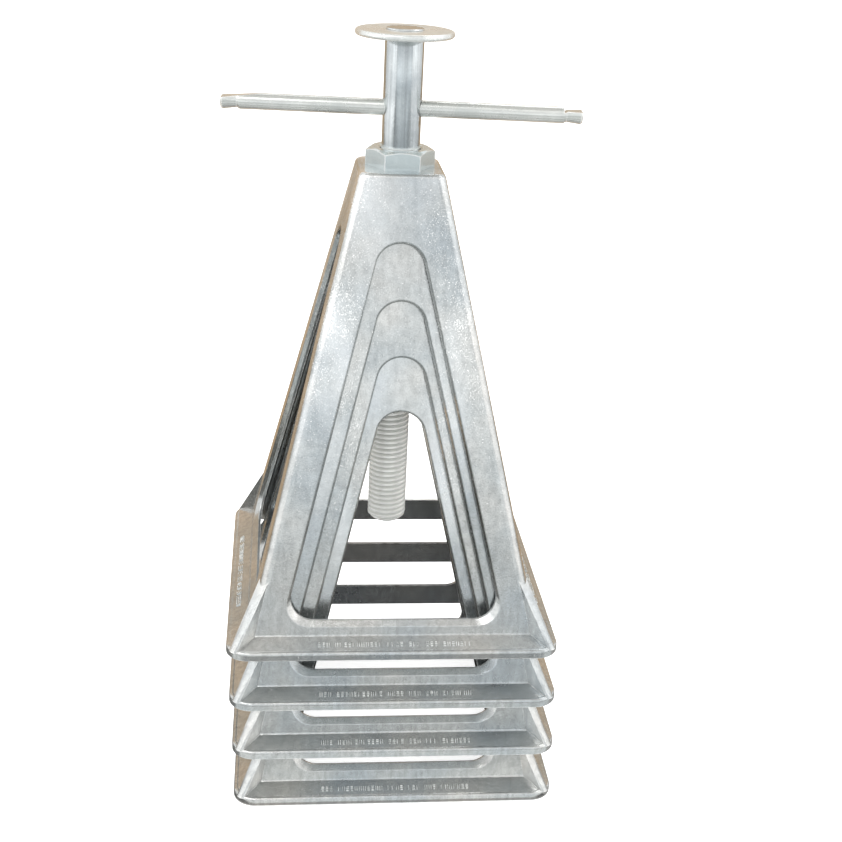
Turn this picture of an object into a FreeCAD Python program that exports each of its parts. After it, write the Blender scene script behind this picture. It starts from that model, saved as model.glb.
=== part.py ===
"""A nest of four cast aluminium support stands with one screw jack fitted in the top stand.

Millimetres, +Z up.  The origin is on the ground under the screw's axis, which is the top stand's own
axis.  Every stand is the same casting; each one sits one nest pitch above the stand below it, and the
three lower ones have slipped a little sideways, as far as the play between the castings lets them.
"""
import FreeCAD, Part
import math
import os

V = FreeCAD.Vector
UP = V(0, 0, 1)

# --- the nest -------------------------------------------------------------------------------
STAND_COUNT = 4
NEST_PITCH = 27.5            # height gained by each further stand
SIDE_PLAY = (3.1, 2.5, 1.25, 0.0)  # how far each stand has slipped along +X, lowest first
NEST_GAP = 0.3               # a boss stands this far above the plate of the stand below

# --- one casting ----------------------------------------------------------------------------
STAND_HEIGHT = 217.2
TOP_HALF = 19.6              # half the width across the top plate
BASE_HALF = 71.2             # half the width of the tapered shell, carried down to the ground
SHELL_CORNER_R = 5.0
WALL = 3.6                   # wall thickness, measured level
PLATE_T = 8.2
PLATE_EDGE_R = 2.6
BOSS_R = 16.0
SCREW_HOLE_R = 13.0          # wide, so that nested stands can slip about the screw

FLANGE_HALF = 79.0
FLANGE_T = 4.2
FLANGE_CORNER_R = 11.0
FLANGE_EDGE_R = 1.5
SKIRT_TOP_Z = 7.6            # the sloped skirt runs from the flange's rim up to this crease
SKIRT_INSET = 1.9            # rim left flat outside the skirt
CREASE_R = 1.2

GUSSET_TOP_Z = 34.0
GUSSET_NOSE_R = 3.2
GUSSET_ROOT = 4.3            # the gusset's sides start this far in from the shell's corner
GUSSET_REACH = 74.0          # centre of the gusset's nose at the flange, along X and along Y

WINDOW_BOTTOM_Z = 11.8
WINDOW_TOP_Z = 187.6
WINDOW_BOTTOM_HALF = 53.6
WINDOW_LEAN = math.radians(13.7)
WINDOW_CORNER_R = 10.5
WINDOW_BEVEL_DEPTH = 2.1
WINDOW_BEVEL_SIDE = 2.0      # width of the bevel seen square to the wall: at the foot of the sides,
WINDOW_BEVEL_BOTTOM = 2.9    # along the sill,
WINDOW_BEVEL_TOP = 0.7       # and round the arch
WINDOW_OUTER_EDGE_R = 0.7
WINDOW_INNER_EDGE_R = 0.5

# --- screw, nut, bar and pad; heights are above the top stand's own base -----------------------
NUT_FLATS = 28.0
NUT_T = 10.7
NUT_SEAT = 2.2               # depth of the hexagonal pocket that keeps the nut from turning
NUT_SEAT_CLEARANCE = 0.1
NUT_BORE_R = 9.6

THREAD_R = 9.525
THREAD_TIP_Z = 37.0
THREAD_TIP_CHAMFER = 2.0
SHANK_R = 8.9
SHOULDER_Z = 275.1
NECK_R = 5.1
PAD_BOTTOM_Z = 275.2
PAD_T = 2.9
PAD_R = 22.4
PAD_EDGE_R = 1.2
PAD_HOLE_R = 5.2
PAD_PLAY = 0.1               # end play between pad and rivet head
HEAD_R = 8.6
HEAD_T = 0.7
HEAD_CHAMFER = 0.35

BAR_R = 3.75
BAR_HALF_LENGTH = 82.3
BAR_Z = 243.4
BAR_TURN = -5.0              # degrees about +Z at rest
BAR_HOLE_R = 3.85
BAR_END_LENGTH = 8.5         # each end is pressed flat on top and spreads sideways over this length
BAR_PINCH_R = 3.4            # radius where the spread begins
BAR_PINCH_RISE = 0.35        # height of its centre above the bar's axis
BAR_TIP_R = 4.75             # radius at the tip
BAR_TIP_RISE = 0.75
BAR_TIP_FLAT = 1.7           # height of the pressed flat above the bar's axis, at the tip
BAR_RAMP_LENGTH = 19.0       # the left end's flat is a ramp of this length
BAR_NOTCH = 1.7              # width and depth of the notch that starts the right end's flat
BAR_END_CHAMFER = 0.7

# --- worked out --------------------------------------------------------------------------------
LEAN = math.atan((BASE_HALF - TOP_HALF) / STAND_HEIGHT)
TOP_STAND_Z = (STAND_COUNT - 1) * NEST_PITCH
NUT_BOTTOM_Z = STAND_HEIGHT - NUT_SEAT
NUT_TOP_Z = NUT_BOTTOM_Z + NUT_T
THREAD_TOP_Z = NUT_TOP_Z + 0.5


def shell_half(z):
    """Half the width of the tapered shell at height z."""
    return BASE_HALF - math.tan(LEAN) * z


def rounded_square(half, corner_r, z):
    """A closed wire: a square of half-width `half` with round corners, level at height z."""
    edges = []
    flat = half - corner_r
    diagonal = flat + corner_r * math.sqrt(0.5)
    for quarter in range(4):
        turn = FreeCAD.Rotation(UP, 90 * quarter)
        points = [V(half, -flat, z), V(half, flat, z), V(diagonal, diagonal, z), V(flat, half, z)]
        start, end, middle, last = [turn.multVec(p) for p in points]
        edges.append(Part.LineSegment(start, end).toShape())
        edges.append(Part.Arc(end, middle, last).toShape())
    return Part.Wire(edges)


def taper(lower, upper):
    """A solid between two level wires with the same number of edges."""
    return Part.makeLoft([lower, upper], True, True)


def four_ways(shape):
    """The shape turned to each of the four sides."""
    return [shape.rotated(V(0, 0, 0), UP, 90 * quarter) for quarter in range(4)]


def rounded_edges_at(shape, z, radius, tolerance=0.05):
    """Round every edge that lies level at height z."""
    edges = [e for e in shape.Edges if abs(e.BoundBox.ZMin - z) < tolerance
             and abs(e.BoundBox.ZMax - z) < tolerance]
    return shape.makeFillet(radius, edges)


def window_wire(bevelled, depth):
    """The window's outline set `depth` into the front wall, outside or inside its bevel."""
    side, sill, crown = (WINDOW_BEVEL_SIDE, WINDOW_BEVEL_BOTTOM, WINDOW_BEVEL_TOP) if bevelled else (0, 0, 0)
    bottom = WINDOW_BOTTOM_Z / math.cos(LEAN)
    top = WINDOW_TOP_Z / math.cos(LEAN)
    sin_w, cos_w, tan_w = math.sin(WINDOW_LEAN), math.cos(WINDOW_LEAN), math.tan(WINDOW_LEAN)
    arch_r = (WINDOW_BOTTOM_HALF * cos_w - sin_w * (top - bottom)) / (1 - sin_w)
    arch_y = top - arch_r
    corner_x = WINDOW_BOTTOM_HALF - tan_w * WINDOW_CORNER_R - WINDOW_CORNER_R / cos_w - side
    corner_y = bottom + WINDOW_CORNER_R + sill
    corner_r = WINDOW_CORNER_R
    arch_r = arch_r - crown
    half_way = math.radians(-45) + WINDOW_LEAN / 2

    def on_wall(x, y):
        lean_in = math.tan(LEAN)
        wall_y = -BASE_HALF + depth * math.cos(LEAN) + y * math.sin(LEAN)
        return V(x, wall_y, y * math.cos(LEAN) - depth * math.cos(LEAN) * lean_in)

    def around(x, y, radius, angle):
        return on_wall(x + radius * math.cos(angle), y + radius * math.sin(angle))

    right = [around(corner_x, corner_y, corner_r, a) for a in (math.radians(-90), half_way, WINDOW_LEAN)]
    arch = [around(0, arch_y, arch_r, a) for a in (WINDOW_LEAN, math.pi / 2, math.pi - WINDOW_LEAN)]
    left = [V(-p.x, p.y, p.z) for p in reversed(right)]
    edges = []
    corners = [right, arch, left]
    for here, following in zip(corners, corners[1:] + corners[:1]):
        edges.append(Part.Arc(*here).toShape())
        edges.append(Part.LineSegment(here[2], following[0]).toShape())
    return Part.Wire(edges)


def window_cutters():
    """Four bevelled triangular windows, each cut square to its own leaning wall."""
    mouth = taper(window_wire(False, -1.0), window_wire(False, 0))
    bevel = taper(window_wire(False, 0), window_wire(True, WINDOW_BEVEL_DEPTH))
    through = taper(window_wire(True, WINDOW_BEVEL_DEPTH), window_wire(True, 4 * WALL))
    return four_ways(mouth) + four_ways(bevel) + four_ways(through)


def edges_along(shape, wires, tolerance=0.03):
    """The shape's edges that run along one of these wires."""
    def lies_on(edge, wire):
        span = edge.LastParameter - edge.FirstParameter
        points = [edge.valueAt(edge.FirstParameter + span * part) for part in (0.1, 0.5, 0.9)]
        return all(wire.distToShape(Part.Vertex(p))[0] < tolerance for p in points)
    return [e for e in shape.Edges if any(lies_on(e, w) for w in wires)]


def soften_windows(body):
    """Round both edges of every window's bevel, as a casting has them."""
    outer = edges_along(body, four_ways(window_wire(False, 0)))
    body = body.makeFillet(WINDOW_OUTER_EDGE_R, outer)
    inner = edges_along(body, four_ways(window_wire(True, WINDOW_BEVEL_DEPTH)))
    return body.makeFillet(WINDOW_INNER_EDGE_R, inner)


def soften_crease(body):
    """Round the inner corner between each wall and the skirt at its foot."""
    def in_crease(edge):
        ends = [v.Point for v in edge.Vertexes]
        return edge.Length > TOP_HALF and all(
            abs(p.z - SKIRT_TOP_Z) < 0.5 and abs(max(abs(p.x), abs(p.y)) - shell_half(p.z)) < 0.05
            for p in ends)
    return body.makeFillet(CREASE_R, [e for e in body.Edges if in_crease(e)])


def gusset():
    """A fin that spreads from the foot of one leg's corner out to the corner of the flange."""
    def section(z, reach):
        root = shell_half(z) - GUSSET_ROOT
        nose = GUSSET_NOSE_R * math.sqrt(0.5)
        side_a, side_b = V(reach, reach + GUSSET_NOSE_R, z), V(reach + GUSSET_NOSE_R, reach, z)
        tip = V(reach + nose, reach + nose, z)
        back_a, back_b = V(root, shell_half(z) - 0.3, z), V(shell_half(z) - 0.3, root, z)
        edges = [Part.LineSegment(back_a, side_a).toShape(), Part.Arc(side_a, tip, side_b).toShape(),
                 Part.LineSegment(side_b, back_b).toShape(), Part.LineSegment(back_b, back_a).toShape()]
        return Part.Wire(edges)
    top_reach = shell_half(GUSSET_TOP_Z) - GUSSET_NOSE_R - 1.9
    return taper(section(FLANGE_T - 1.0, GUSSET_REACH), section(GUSSET_TOP_Z, top_reach))


def hexagon(flats, z, height):
    """A hexagonal prism with one flat facing -Y."""
    corner_r = flats / math.sqrt(3)
    points = [V(corner_r * math.cos(math.radians(60 * i)), corner_r * math.sin(math.radians(60 * i)), z)
              for i in range(6)]
    return Part.Face(Part.makePolygon(points + points[:1])).extrude(V(0, 0, height))


def make_stand():
    """One casting: a hollow leaning shell on a square flange, with four windows and a bored top."""
    outer = taper(rounded_square(shell_half(0), SHELL_CORNER_R, 0),
                  rounded_square(TOP_HALF, SHELL_CORNER_R, STAND_HEIGHT))
    outer = rounded_edges_at(outer, STAND_HEIGHT, PLATE_EDGE_R)
    flange = Part.Face(rounded_square(FLANGE_HALF, FLANGE_CORNER_R, 0)).extrude(V(0, 0, FLANGE_T))
    flange = rounded_edges_at(flange, FLANGE_T, FLANGE_EDGE_R)
    slope = (SKIRT_TOP_Z - FLANGE_T) / (FLANGE_HALF - SKIRT_INSET - shell_half(SKIRT_TOP_Z))
    skirt = taper(rounded_square(FLANGE_HALF - SKIRT_INSET, FLANGE_CORNER_R - SKIRT_INSET, FLANGE_T - 0.1),
                  rounded_square(shell_half(SKIRT_TOP_Z) - 1, SHELL_CORNER_R, SKIRT_TOP_Z + slope))
    body = outer.multiFuse([flange, skirt] + four_ways(gusset()))

    ceiling = STAND_HEIGHT - PLATE_T
    cavity = taper(rounded_square(shell_half(-1) - WALL, SHELL_CORNER_R / 2, -1),
                   rounded_square(shell_half(ceiling) - WALL, SHELL_CORNER_R / 2, ceiling))
    body = body.cut(cavity)
    boss_bottom = STAND_HEIGHT - NEST_PITCH + NEST_GAP
    body = body.fuse(Part.makeCylinder(BOSS_R, ceiling + 1 - boss_bottom, V(0, 0, boss_bottom)))

    bore = Part.makeCylinder(SCREW_HOLE_R, STAND_HEIGHT, V(0, 0, boss_bottom - 1))
    pocket = hexagon(NUT_FLATS + 2 * NUT_SEAT_CLEARANCE, NUT_BOTTOM_Z, NUT_SEAT + 1)
    body = body.cut(window_cutters() + [bore, pocket])
    return soften_crease(soften_windows(body.removeSplitter()))


def make_nut():
    """Hexagon nut with its top corners turned off, held in the pocket of the top plate."""
    nut = hexagon(NUT_FLATS, NUT_BOTTOM_Z, NUT_T)
    turned = 0.95 * NUT_FLATS / 2
    rise = 0.577
    cone = Part.makeCone(turned + NUT_T / rise, turned, NUT_T, V(0, 0, NUT_BOTTOM_Z))
    nut = nut.common(cone)
    bore = Part.makeCylinder(NUT_BORE_R, NUT_T + 2, V(0, 0, NUT_BOTTOM_Z - 1))
    mouth = 0.9
    top_mouth = Part.makeCone(NUT_BORE_R, NUT_BORE_R + mouth, mouth, V(0, 0, NUT_TOP_Z - mouth))
    low_mouth = Part.makeCone(NUT_BORE_R + mouth, NUT_BORE_R, mouth, V(0, 0, NUT_BOTTOM_Z))
    return nut.cut([bore, top_mouth, low_mouth])


def along_bar(shape):
    """Lay a shape made along +X on the bar's axis."""
    return shape.rotated(V(0, 0, 0), UP, BAR_TURN).translated(V(0, 0, BAR_Z))


def make_screw():
    """Threaded spindle, its plain shank, the neck the pad turns on and the riveted head."""
    head_bottom = PAD_BOTTOM_Z + PAD_T + PAD_PLAY
    head_top = head_bottom + HEAD_T
    profile = [(0, THREAD_TIP_Z), (THREAD_R - THREAD_TIP_CHAMFER, THREAD_TIP_Z),
               (THREAD_R, THREAD_TIP_Z + THREAD_TIP_CHAMFER), (THREAD_R, THREAD_TOP_Z),
               (SHANK_R, THREAD_TOP_Z + 0.6), (SHANK_R, SHOULDER_Z - 0.6), (SHANK_R - 0.6, SHOULDER_Z),
               (NECK_R, SHOULDER_Z), (NECK_R, head_bottom), (HEAD_R, head_bottom),
               (HEAD_R, head_top - HEAD_CHAMFER), (HEAD_R - 2 * HEAD_CHAMFER, head_top), (0, head_top)]
    points = [V(r, 0, z) for r, z in profile]
    spindle = Part.Face(Part.makePolygon(points + points[:1])).revolve(V(0, 0, 0), UP, 360)
    hole = Part.makeCylinder(BAR_HOLE_R, 4 * SHANK_R, V(-2 * SHANK_R, 0, 0), V(1, 0, 0))
    return spindle.cut(along_bar(hole))


def spread_end(side):
    """One end of the bar, where the press has spread the round stock sideways."""
    def ring(radius, x, rise):
        return Part.Wire([Part.Circle(V(x, 0, rise), V(1, 0, 0), radius).toShape()])
    start = side * (BAR_HALF_LENGTH - BAR_END_LENGTH)
    pinch = side * (BAR_HALF_LENGTH - BAR_END_LENGTH + 1.2)
    tip = side * BAR_HALF_LENGTH
    run_in = taper(ring(BAR_R, start, 0), ring(BAR_PINCH_R, pinch, BAR_PINCH_RISE))
    spread = taper(ring(BAR_PINCH_R, pinch, BAR_PINCH_RISE), ring(BAR_TIP_R, tip, BAR_TIP_RISE))
    last = [e for e in spread.Edges if abs(e.BoundBox.XMin - tip) < 0.01 and abs(e.BoundBox.XMax - tip) < 0.01]
    return [run_in, spread.makeChamfer(BAR_END_CHAMFER, last)]


def slab_above(profile):
    """A cutter as wide as needed from an outline in the bar's own XZ plane."""
    points = [V(x, -3 * BAR_R, z) for x, z in profile]
    return Part.Face(Part.makePolygon(points + points[:1])).extrude(V(0, 6 * BAR_R, 0))


def make_bar():
    """Round bar whose two ends are pressed flat and spread, so that it can't fall out of the screw."""
    round_half = BAR_HALF_LENGTH - BAR_END_LENGTH
    bar = Part.makeCylinder(BAR_R, 2 * round_half, V(-round_half, 0, 0), V(1, 0, 0))
    bar = bar.multiFuse(spread_end(-1) + spread_end(1))
    beyond, above = BAR_HALF_LENGTH + 1, 3 * BAR_R
    ramp = slab_above([(-BAR_HALF_LENGTH + BAR_RAMP_LENGTH, BAR_R), (-beyond, BAR_TIP_FLAT),
                       (-beyond, above), (-BAR_HALF_LENGTH + BAR_RAMP_LENGTH, above)])
    flat = slab_above([(round_half, BAR_TIP_FLAT + 0.3), (beyond, BAR_TIP_FLAT + 0.3),
                       (beyond, above), (round_half, above)])
    notch = slab_above([(round_half, above), (round_half, BAR_TIP_FLAT + 0.3 - BAR_NOTCH / 2),
                        (round_half + BAR_NOTCH, BAR_TIP_FLAT + 0.3), (round_half + BAR_NOTCH, above)])
    bar = bar.cut([ramp, flat, notch])
    return along_bar(bar.removeSplitter())


def make_pad():
    """Round steel pad that turns freely on the neck of the screw."""
    disc = Part.makeCylinder(PAD_R, PAD_T, V(0, 0, PAD_BOTTOM_Z))
    rims = [e for e in disc.Edges if e.Length > 6 * PAD_R]
    disc = disc.makeFillet(PAD_EDGE_R, rims)
    return disc.cut(Part.makeCylinder(PAD_HOLE_R, 3 * PAD_T, V(0, 0, PAD_BOTTOM_Z - PAD_T)))


def save(name, shape):
    """Write one node and say what it holds."""
    solids = shape.Solids
    if len(solids) != 1 or not shape.isValid():
        raise RuntimeError(name + " is not one valid solid")
    solids[0].exportStep(os.path.join("parts", name + ".step"))
    box = solids[0].BoundBox
    print(name, "volume", round(solids[0].Volume), "z", round(box.ZMin, 2), round(box.ZMax, 2))


os.makedirs("parts", exist_ok=True)
casting = make_stand()
for number in range(STAND_COUNT):
    save("stand_%d" % (number + 1), casting.translated(V(SIDE_PLAY[number], 0, number * NEST_PITCH)))
hardware = {"hex_nut": make_nut, "jack_screw": make_screw, "tommy_bar": make_bar, "swivel_pad": make_pad}
for name, make in hardware.items():
    save(name, make().translated(V(0, 0, TOP_STAND_Z)))
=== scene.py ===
"""The looks of a nest of cast aluminium support stands with a screw jack in the top one.

Everything is in metres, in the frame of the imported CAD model: +Z up, the origin on the ground under
the screw.  The CAD nodes are kept where they are; the screw gets a real helical thread and the
castings get raised marks, and every surface gets its own procedural material.  The floor and lamps
are plain, and glowing cards, which only reflections see, stand for the room the metal reflects.
"""

import math
import random

import bmesh
import bpy
from mathutils import Matrix, Vector


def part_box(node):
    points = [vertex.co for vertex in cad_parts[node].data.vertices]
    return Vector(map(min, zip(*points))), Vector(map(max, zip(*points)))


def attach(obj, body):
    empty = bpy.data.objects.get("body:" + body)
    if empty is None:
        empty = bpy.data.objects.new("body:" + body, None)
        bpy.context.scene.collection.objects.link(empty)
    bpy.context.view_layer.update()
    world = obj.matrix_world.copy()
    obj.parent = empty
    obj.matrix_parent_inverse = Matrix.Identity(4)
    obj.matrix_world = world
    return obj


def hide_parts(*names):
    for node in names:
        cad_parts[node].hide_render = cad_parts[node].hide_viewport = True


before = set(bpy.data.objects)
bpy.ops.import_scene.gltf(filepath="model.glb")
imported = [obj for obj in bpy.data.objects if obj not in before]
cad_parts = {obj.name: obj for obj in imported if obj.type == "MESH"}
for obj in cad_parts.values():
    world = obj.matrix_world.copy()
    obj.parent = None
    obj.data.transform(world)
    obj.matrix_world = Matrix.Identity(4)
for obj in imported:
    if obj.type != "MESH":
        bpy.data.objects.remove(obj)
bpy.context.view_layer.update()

MM = 0.001
STANDS = ["stand_%d" % number for number in range(1, 5)]
STAND_BODIES = dict(zip(STANDS, ["bottom_stand", "second_stand", "third_stand", "top_stand"]))
BASE_OF = {name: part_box(name)[0].z for name in STANDS}
MIDDLE_OF = {name: (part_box(name)[0].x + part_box(name)[1].x) / 2 for name in STANDS}
TOP_BASE = BASE_OF["stand_4"]

# --- sizes shared with the CAD source, in metres -----------------------------------------------
THREAD_R = 9.525 * MM
THREAD_PITCH = 2.54 * MM
THREAD_DEPTH = 1.50 * MM
THREAD_TIP_Z = TOP_BASE + 37.0 * MM
THREAD_TIP_CHAMFER = 2.0 * MM
THREAD_TOP_Z = TOP_BASE + 226.2 * MM
SHANK_R = 8.9 * MM
SHOULDER_Z = TOP_BASE + 275.1 * MM
NECK_R = 5.1 * MM
HEAD_BOTTOM_Z = TOP_BASE + 278.2 * MM
HEAD_TOP_Z = TOP_BASE + 278.9 * MM
HEAD_R = 8.6 * MM
BAR_Z = TOP_BASE + 243.4 * MM
BAR_TURN = math.radians(-5)
BAR_HOLE_R = 3.85 * MM
STAND_HEIGHT = 217.2 * MM
SHELL_FOOT_HALF = 71.2 * MM      # half the width of the tapered shell at its foot and at its top
SHELL_TOP_HALF = 19.6 * MM
SKIRT_OUTER = 77.1 * MM          # half width at the foot of the sloped skirt
SKIRT_INNER = 69.8 * MM          # half width at the crease where the wall begins
SKIRT_LOW_Z = 4.2 * MM
SKIRT_HIGH_Z = 7.6 * MM

# --- tones that more than one pattern fades to ---------------------------------------------------
# Bluish white of worn, polished legs, used as painted glare bands.
POLISH_GLARE_TONE = (0.93, 0.945, 0.95)
# Near white of tumbling nicks and rubbed edges, used as painted glints and edge highlights.
NICK_GLINT_TONE = (0.97, 0.97, 0.95)
# Near black painted shade in the thread roots; the crest tone is the chalky plating.
THREAD_ROOT_PAINTED_SHADE = (0.08, 0.08, 0.075)
THREAD_CREST_TONE = (0.90, 0.90, 0.86)

# --- camera, as worked out from the photograph ---------------------------------------------------
CAMERA_PLACE = Vector((-0.0541, -0.6317, TOP_BASE + 0.3524))
CAMERA_PITCH = 0.393
CAMERA_YAW = -0.110
CAMERA_ROLL = 0.049
CAMERA_LENS = 58.91


# ================================================================================================
# Node helpers
# ================================================================================================
def add(tree, kind, inputs=None, **settings):
    """A shader node with its settings, and its inputs set to values or linked to sockets."""
    node = tree.nodes.new(kind)
    for name, value in settings.items():
        setattr(node, name, value)
    for name, value in (inputs or {}).items():
        socket = node.inputs[name]
        if isinstance(value, bpy.types.NodeSocket):
            tree.links.new(value, socket)
        else:
            socket.default_value = value
    return node


def ramp(tree, factor, stops):
    """A colour ramp; stops are (position, value or colour)."""
    node = add(tree, "ShaderNodeValToRGB", {"Fac": factor})
    elements = node.color_ramp.elements
    while len(elements) < len(stops):
        elements.new(0.5)
    for element, (position, value) in zip(elements, stops):
        element.position = position
        element.color = (value, value, value, 1) if isinstance(value, float) else (*value, 1)
    return node.outputs["Color"]


def math_node(tree, operation, a, b=0.0):
    """One arithmetic step on two values."""
    node = add(tree, "ShaderNodeMath", operation=operation)
    for socket, value in zip(node.inputs, (a, b)):
        if isinstance(value, bpy.types.NodeSocket):
            tree.links.new(value, socket)
        else:
            socket.default_value = value
    return node.outputs[0]


def clamp_ramp(tree, value, low, high, at_low=0.0, at_high=1.0):
    """A straight ramp from one value to another, held level outside its two ends."""
    return add(tree, "ShaderNodeMapRange", {"Value": value, "From Min": low, "From Max": high,
                                            "To Min": at_low, "To Max": at_high}).outputs[0]


def multiply(tree, a, b):
    """The product of two values."""
    return math_node(tree, "MULTIPLY", a, b)


def mix_colour(tree, factor, a, b, blend="MIX"):
    """Two colours mixed by a factor."""
    node = add(tree, "ShaderNodeMix", data_type="RGBA", blend_type=blend)
    for socket, value in zip((node.inputs[0], node.inputs[6], node.inputs[7]), (factor, a, b)):
        if isinstance(value, bpy.types.NodeSocket):
            tree.links.new(value, socket)
        elif isinstance(value, float):
            socket.default_value = value
        else:
            socket.default_value = (*value, 1)
    return node.outputs[2]


def darken(tree, strength, tone, by):
    """A colour multiplied by a pattern, as strongly as asked."""
    return mix_colour(tree, strength, tone, by, "MULTIPLY")


def new_material(name):
    """An empty node material with a metallic shader; returns material, tree and shader."""
    material = bpy.data.materials.new(name)
    material.use_nodes = True
    tree = material.node_tree
    tree.nodes.clear()
    shader = add(tree, "ShaderNodeBsdfPrincipled", {"Metallic": 1.0})
    add(tree, "ShaderNodeOutputMaterial", {"Surface": shader.outputs[0]})
    return material, tree, shader


def noise(tree, place, scale, detail=4.0, roughness=0.55):
    """Plain noise, 0 to 1."""
    return add(tree, "ShaderNodeTexNoise", {"Vector": place, "Scale": scale, "Detail": detail,
                                            "Roughness": roughness}).outputs[0]


def placed(tree, shift=(0, 0, 0), scale=(1, 1, 1)):
    """The row frame's own coordinates, shifted and stretched."""
    coordinate = add(tree, "ShaderNodeTexCoord").outputs["Object"]
    return add(tree, "ShaderNodeMapping", {"Vector": coordinate, "Location": shift,
                                           "Scale": scale}).outputs[0]


def bump(tree, height, distance, strength=1.0, under=None):
    """A bump that raises the surface by up to `distance` metres."""
    node = add(tree, "ShaderNodeBump", {"Height": height, "Distance": distance,
                                        "Strength": strength})
    if under is not None:
        tree.links.new(under, node.inputs["Normal"])
    return node.outputs[0]


# ================================================================================================
# Materials
# ================================================================================================
def cast_aluminium(name, seed, base_z, middle_x):
    """Die cast aluminium: satin skin, fine grain, stains, worn legs with painted glare bands, nicks from
    tumbling painted near-white as glints, painted edge highlights, and painted shade in crevices.
    """
    material, tree, shader = new_material(name)
    place = placed(tree, shift=(seed * 0.37, seed * 0.21, seed * 0.11))
    grain = noise(tree, place, 1500.0, 3.0, 0.7)
    mottle = noise(tree, place, 240.0, 4.0, 0.6)
    stain = noise(tree, place, 26.0, 3.0, 0.5)
    waves = noise(tree, place, 34.0, 1.5, 0.5)
    drag_place = placed(tree, shift=(seed, 0, 0), scale=(420, 420, 9))
    drag = noise(tree, drag_place, 1.0, 3.0, 0.5)
    wear_and_sheen, height = wear_and_sheen_mask(tree, base_z, middle_x)
    # Rubbed edges and creases, painted near-white as edge highlights as well as wear.
    rubbed_edge_glint = multiply(tree, edge_wear_and_highlight(tree, 0.6 * MM, 0.82), clamp_ramp(tree, mottle, 0.35, 0.6, 0.25, 0.85))
    # Nicks from tumbling, painted near-white as glints, joined with the painted edge highlights.
    nick_glint = math_node(tree, "MAXIMUM", tumbling_nick_glints(tree, place, wear_and_sheen), rubbed_edge_glint)
    # Vertical polish bands on the worn legs, painted as bright glare bands as well as wear.
    polish_glare_place = placed(tree, shift=(seed * 0.6, 0, 0), scale=(34, 34, 11))
    polish_glare = clamp_ramp(tree, noise(tree, polish_glare_place, 1.0, 2.5, 0.5), 0.44, 0.60)
    polish_glare = multiply(tree, polish_glare, wear_and_sheen)
    # Ambient occlusion of the casting itself, used below as painted shade in its crevices.
    painted_crevice_shade = add(tree, "ShaderNodeAmbientOcclusion", {"Distance": 8.0 * MM}, samples=4,
                  only_local=True).outputs["AO"]

    tone = ramp(tree, stain, [(0.34, (0.54, 0.58, 0.60)), (0.50, (0.63, 0.65, 0.645)),
                              (0.66, (0.72, 0.715, 0.69))])
    tone = darken(tree, 0.55, tone, ramp(tree, grain, [(0.30, 0.62), (0.50, 0.95), (0.66, 1.0)]))
    tone = darken(tree, 0.40, tone, ramp(tree, mottle, [(0.3, 0.66), (0.62, 1.0)]))
    tone = darken(tree, 0.35, tone, ramp(tree, drag, [(0.35, 0.70), (0.60, 1.0)]))
    # Painted glare: polished legs lightened towards bluish white.
    tone = mix_colour(tree, polish_glare, tone, POLISH_GLARE_TONE)
    # Painted glints: nicks and rubbed edges lightened to near white.
    tone = mix_colour(tree, nick_glint, tone, NICK_GLINT_TONE)
    # Painted shade: the base colour goes near black where the casting closes in on itself.
    tone = darken(tree, 1.0, tone, ramp(tree, painted_crevice_shade, [(0.18, 0.05), (0.60, 1.0)]))
    tree.links.new(tone, shader.inputs["Base Color"])

    rough = ramp(tree, mottle, [(0.25, 0.30), (0.75, 0.16)])
    rough = mix_colour(tree, 0.5, rough, ramp(tree, stain, [(0.3, 0.30), (0.7, 0.14)]))
    tree.links.new(rough, shader.inputs["Roughness"])
    metal = multiply(tree, clamp_ramp(tree, height, 0.04, 0.22, 0.84, 1.0),
                     math_node(tree, "SUBTRACT", 1.0, multiply(tree, nick_glint, 0.7)))
    tree.links.new(metal, shader.inputs["Metallic"])

    surface = bump(tree, waves, 1.2 * MM, 0.35)
    surface = bump(tree, drag, 0.05 * MM, 0.45, surface)
    surface = bump(tree, mottle, 0.10 * MM, 0.6, surface)
    surface = bump(tree, grain, 0.04 * MM, 0.8, surface)
    tree.links.new(surface, shader.inputs["Normal"])
    return material


def edge_wear_and_highlight(tree, radius, sharpest):
    """Mask of rubbed edges and creases, used for painted edge highlights as well as wear, full where a
    rounded edge's normal agrees with the true one by `sharpest`.
    """
    rounded = add(tree, "ShaderNodeBevel", {"Radius": radius}, samples=4).outputs[0]
    true_normal = add(tree, "ShaderNodeNewGeometry").outputs["Normal"]
    agree = add(tree, "ShaderNodeVectorMath", {0: rounded, 1: true_normal},
                operation="DOT_PRODUCT").outputs["Value"]
    return clamp_ramp(tree, agree, sharpest, 0.985, 1.0, 0.0)


def wear_and_sheen_mask(tree, base_z, middle_x):
    """How worn the casting is and where its painted glare and glints gather, most on the legs' upper half,
    and the height as a share of the stand's.
    """
    own = add(tree, "ShaderNodeSeparateXYZ", {"Vector": placed(tree, shift=(-middle_x, 0, -base_z))})
    across, deep, height = own.outputs
    half = clamp_ramp(tree, height, 0.0, STAND_HEIGHT, SHELL_FOOT_HALF, SHELL_TOP_HALF)
    nearer = math_node(tree, "MINIMUM", math_node(tree, "ABSOLUTE", across),
                       math_node(tree, "ABSOLUTE", deep))
    leg = clamp_ramp(tree, math_node(tree, "DIVIDE", nearer, half), 0.25, 0.90)
    share = math_node(tree, "DIVIDE", height, STAND_HEIGHT)
    by_height = ramp(tree, share, [(0.05, 0.0), (0.40, 0.25), (0.55, 0.6), (0.70, 1.0), (0.82, 0.7),
                                   (1.0, 0.8)])
    wear_and_sheen = multiply(tree, clamp_ramp(tree, leg, 0.0, 1.0, 0.3, 1.0), by_height)
    return wear_and_sheen, share


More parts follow.
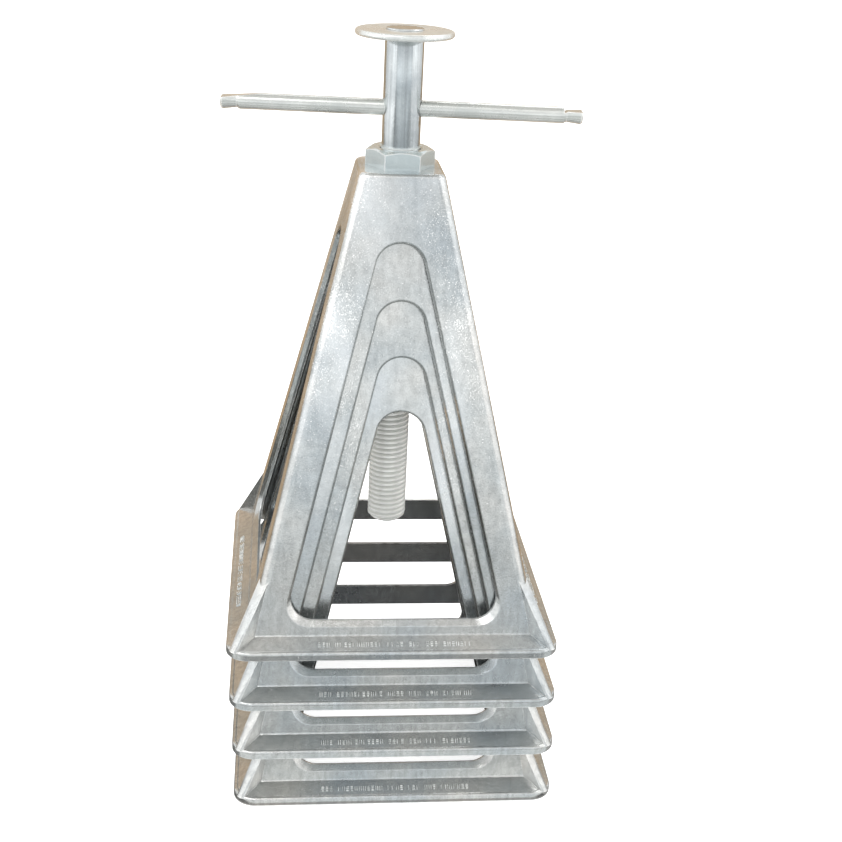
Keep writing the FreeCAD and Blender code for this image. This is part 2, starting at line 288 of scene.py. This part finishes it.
def tumbling_nick_glints(tree, place, wear_and_sheen):
    """Mask of fine nicks, painted near-white as glints, in loose drifts where the casting is worn and rare
    at its foot.
    """
    drift = clamp_ramp(tree, noise(tree, place, 90.0, 4.0, 0.7), 0.34, 0.70)
    crowd = multiply(tree, wear_and_sheen, clamp_ramp(tree, drift, 0.0, 1.0, 0.30, 0.85))
    fleck_and_glint = noise(tree, place, 1550.0, 2.0, 0.6)
    scratch_place = add(tree, "ShaderNodeMapping", {"Vector": place, "Rotation": (0.4, 0.9, 0.3),
                                                    "Scale": (3800, 3800, 500)}).outputs[0]
    scratch = noise(tree, scratch_place, 1.0, 2.0, 0.5)
    threshold = clamp_ramp(tree, crowd, 0.0, 0.8, 0.69, 0.50)
    dots = clamp_ramp(tree, math_node(tree, "SUBTRACT", fleck_and_glint, threshold), 0.0, 0.10, 0.0, 0.85)
    lines = clamp_ramp(tree, math_node(tree, "SUBTRACT", scratch, threshold), 0.0, 0.08, 0.0, 0.75)
    return math_node(tree, "MAXIMUM", dots, lines)


def zinc_steel(name, light, dark, roughness, along, seed, metallic, grit, streaks, dull_below=None):
    """Bright zinc plate over turned or drawn steel.

    `along` stretches its fine tool marks, `streaks` is how strong they are, and `grit` how speckled
    it is; specks and rubbed edges are painted near-white as glints and edge highlights.  Below the height
    `dull_below`, if given, the plating is the chalky kind that threads have, with painted shade near black
    in the thread roots.
    """
    material, tree, shader = new_material(name)
    place = placed(tree, shift=(seed, 0.3 * seed, 0.7 * seed))
    cloud = noise(tree, place, 60.0, 4.0, 0.55)
    speck = noise(tree, place, 1100.0, 3.0, 0.65)
    marks_place = placed(tree, shift=(seed, 0, 0), scale=along)
    marks = noise(tree, marks_place, 1.0, 3.0, 0.6)
    tone = mix_colour(tree, ramp(tree, cloud, [(0.3, 0.0), (0.7, 1.0)]), dark, light)
    tone = darken(tree, grit, tone, ramp(tree, speck, [(0.32, 0.62), (0.6, 1.0)]))
    tone = darken(tree, streaks, tone, ramp(tree, marks, [(0.38, 0.60), (0.56, 1.0)]))
    fleck_and_glint = clamp_ramp(tree, speck, 0.64, 0.70, 0.0, 1.6 * grit)
    # Rubbed edges painted near-white as edge highlights as well as wear, joined with the plating's bright
    # specks.
    rubbed_edge_glint = multiply(tree, edge_wear_and_highlight(tree, 0.9 * MM, 0.90), 0.9)
    fleck_and_glint = math_node(tree, "MAXIMUM", fleck_and_glint, rubbed_edge_glint)
    tone = mix_colour(tree, fleck_and_glint, tone, (0.97, 0.97, 0.96))
    metal = math_node(tree, "SUBTRACT", metallic, multiply(tree, fleck_and_glint, 0.5 * metallic))
    if dull_below is not None:
        height = add(tree, "ShaderNodeSeparateXYZ", {"Vector": placed(tree)}).outputs[2]
        shiny = clamp_ramp(tree, height, dull_below - 1.0 * MM, dull_below + 1.0 * MM, 0.28, 1.0)
        metal = multiply(tree, metal, shiny)
        from_axis = add(tree, "ShaderNodeVectorMath", {0: placed(tree, scale=(1, 1, 0))},
                        operation="LENGTH").outputs["Value"]
        # Thread roots get painted shade near black; the crests keep the chalky plating.
        crest = clamp_ramp(tree, from_axis, THREAD_R - 0.98 * THREAD_DEPTH,
                           THREAD_R - 0.80 * THREAD_DEPTH)
        chalk_and_root_shade = mix_colour(tree, crest, THREAD_ROOT_PAINTED_SHADE, THREAD_CREST_TONE)
        tone = mix_colour(tree, shiny, chalk_and_root_shade, tone)
    tree.links.new(tone, shader.inputs["Base Color"])
    tree.links.new(metal, shader.inputs["Metallic"])
    low, high = roughness
    tree.links.new(ramp(tree, cloud, [(0.3, high), (0.7, low)]), shader.inputs["Roughness"])
    surface = bump(tree, cloud, 0.3 * MM, 0.12)
    surface = bump(tree, marks, 0.10 * MM * streaks, 0.6, surface)
    surface = bump(tree, speck, 0.02 * MM, 0.5, surface)
    tree.links.new(surface, shader.inputs["Normal"])
    return material


def worn_crests(name, seed):
    """The rubbed tops of the raised marks: brighter and chalkier than the casting round them."""
    material, tree, shader = new_material(name)
    place = placed(tree, shift=(seed, seed * 0.4, 0))
    rub = noise(tree, place, 420.0, 3.0, 0.6)
    tone = ramp(tree, rub, [(0.35, (0.66, 0.68, 0.67)), (0.60, (0.93, 0.94, 0.92))])
    tree.links.new(tone, shader.inputs["Base Color"])
    tree.links.new(clamp_ramp(tree, rub, 0.35, 0.62, 0.9, 0.45), shader.inputs["Metallic"])
    tree.links.new(clamp_ramp(tree, rub, 0.3, 0.7, 0.25, 0.45), shader.inputs["Roughness"])
    surface = bump(tree, noise(tree, place, 1500.0, 3.0), 0.04 * MM, 0.6)
    tree.links.new(surface, shader.inputs["Normal"])
    return material


def pale_floor():
    """Smooth pale studio floor with the faintest mottling."""
    material, tree, shader = new_material("pale_floor")
    shader.inputs["Metallic"].default_value = 0.0
    shader.inputs["Specular IOR Level"].default_value = 0.1
    shade = noise(tree, placed(tree), 3.0, 3.0)
    tone = ramp(tree, shade, [(0.3, (0.93, 0.93, 0.93)), (0.7, (0.96, 0.96, 0.96))])
    tree.links.new(tone, shader.inputs["Base Color"])
    tree.links.new(tone, shader.inputs["Emission Color"])
    shader.inputs["Emission Strength"].default_value = 0.6
    tree.links.new(ramp(tree, shade, [(0.3, 0.8), (0.7, 0.9)]), shader.inputs["Roughness"])
    return material


def glow(name, low, high):
    """Emission that runs from colour `low` at one end of the card to `high` at the other."""
    material = bpy.data.materials.new(name)
    material.use_nodes = True
    tree = material.node_tree
    tree.nodes.clear()
    across = add(tree, "ShaderNodeTexCoord").outputs["UV"]
    upward = add(tree, "ShaderNodeSeparateXYZ", {"Vector": across}).outputs[1]
    colour = mix_colour(tree, upward, low, high)
    emission = add(tree, "ShaderNodeEmission", {"Color": colour})
    add(tree, "ShaderNodeOutputMaterial", {"Surface": emission.outputs[0]})
    return material


# ================================================================================================
# Pieces
# ================================================================================================
def object_from(bm, name, material, body):
    """Turn a bmesh into a shown piece that rides on a body."""
    bmesh.ops.recalc_face_normals(bm, faces=bm.faces)
    mesh = bpy.data.meshes.new(name)
    bm.to_mesh(mesh)
    bm.free()
    piece = bpy.data.objects.new(name, mesh)
    bpy.context.scene.collection.objects.link(piece)
    mesh.materials.append(material)
    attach(piece, body)
    return piece


def shade(piece, angle=30.0):
    """Smooth shading that stays sharp at edges steeper than `angle` degrees."""
    mesh = piece.data
    mesh.polygons.foreach_set("use_smooth", [True] * len(mesh.polygons))
    mesh.set_sharp_from_angle(angle=math.radians(angle))


def thread_radius(angle, z):
    """Radius of the right-hand thread at this angle and height, chamfered at its tip."""
    phase = ((z - THREAD_TIP_Z) / THREAD_PITCH - angle / (2 * math.pi)) % 1.0
    away = abs(phase - 0.5) * 2
    crest, root = 0.48, 0.96
    share = min(1.0, max(0.0, (away - crest) / (root - crest)))
    share = share * share * (3 - 2 * share) * 0.25 + share * 0.75
    radius = THREAD_R - THREAD_DEPTH * share
    tip = THREAD_R - THREAD_TIP_CHAMFER + (z - THREAD_TIP_Z)
    fade = (z - (THREAD_TOP_Z - 3 * THREAD_PITCH)) / (3 * THREAD_PITCH)
    fade = min(1.0, max(0.0, fade))
    return min(tip, radius * (1 - fade) + SHANK_R * fade)


def add_ring(bm, radius, z, columns):
    """One level ring of vertices."""
    return [bm.verts.new((radius * math.cos(2 * math.pi * i / columns),
                          radius * math.sin(2 * math.pi * i / columns), z)) for i in range(columns)]


def bridge(bm, lower, upper):
    """Quads between two rings of the same length."""
    count = len(lower)
    for i in range(count):
        j = (i + 1) % count
        bm.faces.new((lower[i], lower[j], upper[j], upper[i]))


def thread_mesh(bm, columns=72, rows_per_pitch=10):
    """The threaded part: rows of quads that climb with the helix; returns its top ring."""
    step = THREAD_PITCH / rows_per_pitch
    span = THREAD_TOP_Z - THREAD_TIP_Z
    count = math.ceil(span / step) + rows_per_pitch + 1

    def vertex(column, row):
        angle = 2 * math.pi * column / columns
        z = THREAD_TIP_Z + step * (row - rows_per_pitch) + THREAD_PITCH * column / columns
        z = min(THREAD_TOP_Z, max(THREAD_TIP_Z, z))
        radius = thread_radius(angle, z)
        return bm.verts.new((radius * math.cos(angle), radius * math.sin(angle), z))

    grid = [[vertex(column, row) for row in range(count)] for column in range(columns)]
    for column in range(columns):
        here = grid[column]
        following = grid[(column + 1) % columns]
        lift = rows_per_pitch if column == columns - 1 else 0
        for row in range(count - 1 - lift):
            corners = (here[row + lift], following[row], following[row + 1], here[row + 1 + lift])
            if lift:
                corners = (here[row], following[row + lift], following[row + 1 + lift], here[row + 1])
            bm.faces.new(corners)
    bmesh.ops.remove_doubles(bm, verts=bm.verts, dist=1e-7)
    low = [v for v in bm.verts if abs(v.co.z - THREAD_TIP_Z) < 1e-7]
    top = [v for v in bm.verts if abs(v.co.z - THREAD_TOP_Z) < 1e-7]

    def around(v):
        return math.atan2(v.co.y, v.co.x) % (2 * math.pi)

    low.sort(key=around)
    top.sort(key=around)
    bm.faces.new(reversed(low))
    return top


def cut_round(piece, place, direction, radius, length):
    """Bore a round hole through a piece with a boolean, and keep the result as plain mesh."""
    bm = bmesh.new()
    bmesh.ops.create_cone(bm, cap_ends=True, segments=64, radius1=radius, radius2=radius, depth=length)
    turn = direction.to_track_quat("Z", "Y").to_matrix().to_4x4()
    bm.transform(Matrix.Translation(place) @ turn)
    mesh = bpy.data.meshes.new("cutter")
    bm.to_mesh(mesh)
    bm.free()
    cutter = bpy.data.objects.new("cutter", mesh)
    bpy.context.scene.collection.objects.link(cutter)
    modifier = piece.modifiers.new("bore", "BOOLEAN")
    modifier.operation = "DIFFERENCE"
    modifier.solver = "EXACT"
    modifier.object = cutter
    bpy.context.view_layer.update()
    evaluated = piece.evaluated_get(bpy.context.evaluated_depsgraph_get())
    result = bpy.data.meshes.new_from_object(evaluated)
    piece.modifiers.clear()
    piece.data = result
    bpy.data.objects.remove(cutter)


def make_screw(material):
    """Threaded spindle, plain shank with its cross hole, neck and riveted head."""
    bm = bmesh.new()
    ring = thread_mesh(bm)
    edge = 0.6 * MM
    crown = 0.35 * MM
    profile = [(SHANK_R, THREAD_TOP_Z + 0.2 * MM), (SHANK_R, BAR_Z - 8 * MM), (SHANK_R, BAR_Z + 8 * MM),
               (SHANK_R, SHOULDER_Z - edge), (SHANK_R - 0.2 * MM, SHOULDER_Z - 0.2 * MM),
               (SHANK_R - edge, SHOULDER_Z), (NECK_R, SHOULDER_Z), (NECK_R, HEAD_BOTTOM_Z),
               (HEAD_R, HEAD_BOTTOM_Z), (HEAD_R, HEAD_TOP_Z - crown)]
    profile += [(HEAD_R - edge * share, HEAD_TOP_Z - crown * (1 - share) ** 2) for share in (0.3, 0.65, 1.0)]
    profile += [(HEAD_R * share, HEAD_TOP_Z) for share in (0.7, 0.35)]
    for radius, z in profile:
        upper = add_ring(bm, radius, z, len(ring))
        bridge(bm, ring, upper)
        ring = upper
    bm.faces.new(ring)
    screw = object_from(bm, "threaded_screw", material, "screw")
    axis = Vector((math.cos(BAR_TURN), math.sin(BAR_TURN), 0))
    cut_round(screw, Vector((0, 0, BAR_Z)), axis, BAR_HOLE_R, 4 * SHANK_R)
    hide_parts("jack_screw")
    shade(screw, 38)


MARK_TOP_SHARE = 0.78        # a mark's flat top, as a share of its foot's length and width


def add_raised_bar(bm, place, along, across, out, size):
    """A small raised bar with sloping sides, lying on a surface."""
    length, width, height = size
    lower, upper = [], []
    for u, v in ((-1, -1), (1, -1), (1, 1), (-1, 1)):
        corner = along * (u * length / 2) + across * (v * width / 2)
        lower.append(bm.verts.new(place + corner - out * height))
        upper.append(bm.verts.new(place + corner * MARK_TOP_SHARE + out * height))
    bridge(bm, lower, upper)
    bm.faces.new(upper)
    bm.faces.new(reversed(lower))


def make_marks(stand, material, number):
    """Rows of small raised ticks on the skirt, standing in for the lettering cast there."""
    rng = random.Random(40 + number)
    bm = bmesh.new()
    slope = Vector((0, SKIRT_OUTER - SKIRT_INNER, SKIRT_HIGH_Z - SKIRT_LOW_Z)).normalized()
    out = Vector((0, -slope.z, slope.y))
    along = Vector((1, 0, 0))
    middle = Vector((0, -(SKIRT_OUTER + SKIRT_INNER) / 2,
                     BASE_OF[stand] + (SKIRT_LOW_Z + SKIRT_HIGH_Z) / 2))
    centre = Vector((MIDDLE_OF[stand], 0, 0))
    tall, thick, high = 2.4 * MM, 0.36 * MM, 0.36 * MM
    for side in (0, 1, 3):
        turn = Matrix.Rotation(math.radians(90 * side), 3, "Z")

        def tick(x, level, size):
            place = middle + along * x + slope * (level * tall - 0.8 * MM)
            add_raised_bar(bm, centre + turn @ place, turn @ along, turn @ slope, turn @ out, size)

        reach = -36 * MM
        for letters in (3, 11, 4, 3, 3, 7):
            for _ in range(letters):
                kind = rng.choice(("two", "one", "dashes", "dashes"))
                if kind == "dashes":
                    for level in (-0.40, 0.05, 0.42):
                        tick(reach + 0.75 * MM, level, (rng.uniform(0.9, 1.5) * MM, thick, high))
                else:
                    tick(reach + 0.25 * MM, 0.0, (thick, tall, high))
                    if kind == "two":
                        tick(reach + 1.25 * MM, 0.0, (thick, tall, high))
                reach += 2.05 * MM
            reach += 2.0 * MM
    marks = object_from(bm, "raised_marks_%d" % number, material, STAND_BODIES[stand])
    shade(marks, 25)


# ================================================================================================
# Stage
# ================================================================================================
def make_floor():
    """A large pale floor, well past anything the camera sees."""
    bm = bmesh.new()
    bmesh.ops.create_grid(bm, x_segments=8, y_segments=8, size=9.0)
    mesh = bpy.data.meshes.new("floor")
    bm.to_mesh(mesh)
    bm.free()
    floor = bpy.data.objects.new("floor", mesh)
    bpy.context.scene.collection.objects.link(floor)
    mesh.materials.append(pale_floor())
    floor.location = (0, 0, -0.2 * MM)
    floor.visible_glossy = False


def make_card(name, centre, facing, size, low, high):
    """A glowing card that only reflections see, as a studio's reflectors and walls."""
    bm = bmesh.new()
    uv = bm.loops.layers.uv.new("UVMap")
    bmesh.ops.create_grid(bm, x_segments=1, y_segments=1, size=0.5)
    for face in bm.faces:
        for loop in face.loops:
            loop[uv].uv = (loop.vert.co.x + 0.5, loop.vert.co.y + 0.5)
    mesh = bpy.data.meshes.new(name)
    bm.to_mesh(mesh)
    bm.free()
    card = bpy.data.objects.new(name, mesh)
    bpy.context.scene.collection.objects.link(card)
    mesh.materials.append(glow(name, low, high))
    card.scale = (size[0], size[1], 1)
    card.rotation_euler = facing.to_track_quat("Z", "Y").to_euler()
    card.location = centre
    card.visible_camera = False
    card.visible_diffuse = False
    card.visible_shadow = False
    card.visible_transmission = False


def make_light(name, place, size, energy):
    """A soft square lamp that points at the object's middle."""
    data = bpy.data.lights.new(name, "AREA")
    data.shape = "SQUARE"
    data.size = size
    data.energy = energy
    lamp = bpy.data.objects.new(name, data)
    bpy.context.scene.collection.objects.link(lamp)
    lamp.location = place
    lamp.rotation_euler = (Vector((0, 0, 0.15)) - lamp.location).to_track_quat("-Z", "Y").to_euler()


def make_world():
    """Even white surroundings."""
    world = bpy.data.worlds.new("studio")
    world.use_nodes = True
    world.node_tree.nodes["Background"].inputs["Color"].default_value = (1, 1, 1, 1)
    world.node_tree.nodes["Background"].inputs["Strength"].default_value = 1.05
    bpy.context.scene.world = world


def make_camera():
    """The photograph's viewpoint."""
    data = bpy.data.cameras.new("camera")
    data.sensor_width = 36
    data.lens = CAMERA_LENS
    data.clip_start = 0.01
    camera = bpy.data.objects.new("camera", data)
    bpy.context.scene.collection.objects.link(camera)
    turn = (Matrix.Rotation(CAMERA_YAW, 3, "Z") @ Matrix.Rotation(math.pi / 2 - CAMERA_PITCH, 3, "X")
            @ Matrix.Rotation(CAMERA_ROLL, 3, "Z"))
    camera.matrix_world = Matrix.Translation(CAMERA_PLACE) @ turn.to_4x4()
    bpy.context.scene.camera = camera


def dress_castings():
    """Every casting gets its own skin and its raised marks."""
    for number, stand in enumerate(STANDS, start=1):
        material = cast_aluminium("cast_aluminium_%d" % number, number * 1.7, BASE_OF[stand],
                                  MIDDLE_OF[stand])
        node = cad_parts[stand]
        node.data.materials.clear()
        node.data.materials.append(material)
        shade(node, 28)
        make_marks(stand, worn_crests("worn_crests_%d" % number, number * 2.3), number)


def dress_hardware():
    """Plated steel for nut, screw, bar and pad."""
    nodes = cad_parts
    finishes = {
        "hex_nut": zinc_steel("zinc_nut", (0.72, 0.79, 0.80), (0.62, 0.69, 0.70), (0.16, 0.26),
                              (90, 90, 90), 1.0, metallic=0.8, grit=0.12, streaks=0.10),
        "tommy_bar": zinc_steel("zinc_bar", (0.72, 0.73, 0.70), (0.56, 0.58, 0.56), (0.20, 0.30),
                                (18, 700, 700), 2.0, metallic=0.75, grit=0.12, streaks=0.22),
        "swivel_pad": zinc_steel("zinc_pad", (0.84, 0.86, 0.84), (0.70, 0.72, 0.70), (0.22, 0.36),
                                 (300, 300, 300), 3.0, metallic=0.78, grit=0.30, streaks=0.2),
    }
    for name, material in finishes.items():
        nodes[name].data.materials.clear()
        nodes[name].data.materials.append(material)
        shade(nodes[name], 28)
    make_screw(zinc_steel("zinc_screw", (0.71, 0.75, 0.76), (0.48, 0.52, 0.54), (0.08, 0.18),
                          (420, 420, 8), 4.0, metallic=0.97, grit=0.12, streaks=0.55,
                          dull_below=THREAD_TOP_Z))


def make_studio():
    """Floor, lamps, surroundings for the reflections, and camera."""
    make_floor()
    make_world()
    make_light("key", (-0.9, -1.2, 1.9), 1.4, 16)
    make_light("top", (0.5, 0.6, 2.2), 1.6, 14)
    up, down = Vector((0, 0, 1)), Vector((0, 0, -1))
    back, front = Vector((0, -1, 0)), Vector((0, 1, 0))
    rightward, leftward = Vector((1, 0, 0)), Vector((-1, 0, 0))
    brown_low, brown_high = (0.54, 0.40, 0.26), (0.68, 0.54, 0.39)
    ground, left_ground, under = (0.34, 0.33, 0.31), (0.08, 0.08, 0.07), (0.02, 0.02, 0.02)
    room_bright, room_dim = (1.22, 1.26, 1.28), (0.80, 0.82, 0.84)
    window_low, window_high = (1.3, 1.3, 1.3), (1.9, 1.9, 1.9)
    ceiling = (0.58, 0.58, 0.56)
    # Each card: name, centre, side that glows, size, and its tones.  The first tone is at the bottom of
    # an upright card, and at the end nearest the object of one that lies in front of it.
    cards = (
        ("wood_wall", (0, 0.60, 0.35), back, (1.6, 0.70), brown_low, brown_high),
        ("pale_door", (0.01, 0.598, 0.23), back, (0.22, 0.32), (0.60, 0.62, 0.62), (0.86, 0.88, 0.88)),
        ("wood_ground", (0, 0.37, 0.001), up, (1.6, 0.46), brown_low, brown_low),
        ("ground_all", (0, 0, 0.0004), up, (2.8, 2.8), ground, ground),
        ("ground_left", (-0.30, -0.11, 0.0007), up, (0.42, 0.48), left_ground, left_ground),
        ("ground_under", (0, 0, 0.001), up, (0.158, 0.158), under, under),
        ("ground_near", (0, -0.13, 0.001), up, (2.8, 0.10), (0.86, 0.90, 0.90), (0.70, 0.74, 0.74)),
        ("ground_band", (0, -0.225, 0.001), up, (2.8, 0.09), (0.16, 0.17, 0.17), (0.12, 0.13, 0.13)),
        ("ground_front", (0, -0.835, 0.001), up, (2.8, 1.13), (0.80, 0.84, 0.84), (0.20, 0.21, 0.21)),
        ("room_low", (0, -1.4, 0.17), front, (2.8, 0.34), (0.62, 0.66, 0.68), room_bright),
        ("room_mid", (0, -1.4, 0.57), front, (2.8, 0.46), room_bright, room_dim),
        ("room_high", (0, -1.4, 1.20), front, (2.8, 0.80), room_dim, (1.00, 1.00, 1.00)),
        ("left_window", (-1.4, -0.55, 0.8), rightward, (1.4, 1.6), window_low, window_high),
        ("right_window", (1.4, -0.55, 0.8), leftward, (1.4, 1.6), window_low, window_high),
        ("ceiling", (0, -0.1, 1.6), down, (1.4, 1.4), ceiling, ceiling),
    )
    for card in cards:
        make_card(*card)
    make_camera()


dress_castings()
dress_hardware()
make_studio()
bpy.context.scene.view_settings.view_transform = "Standard"
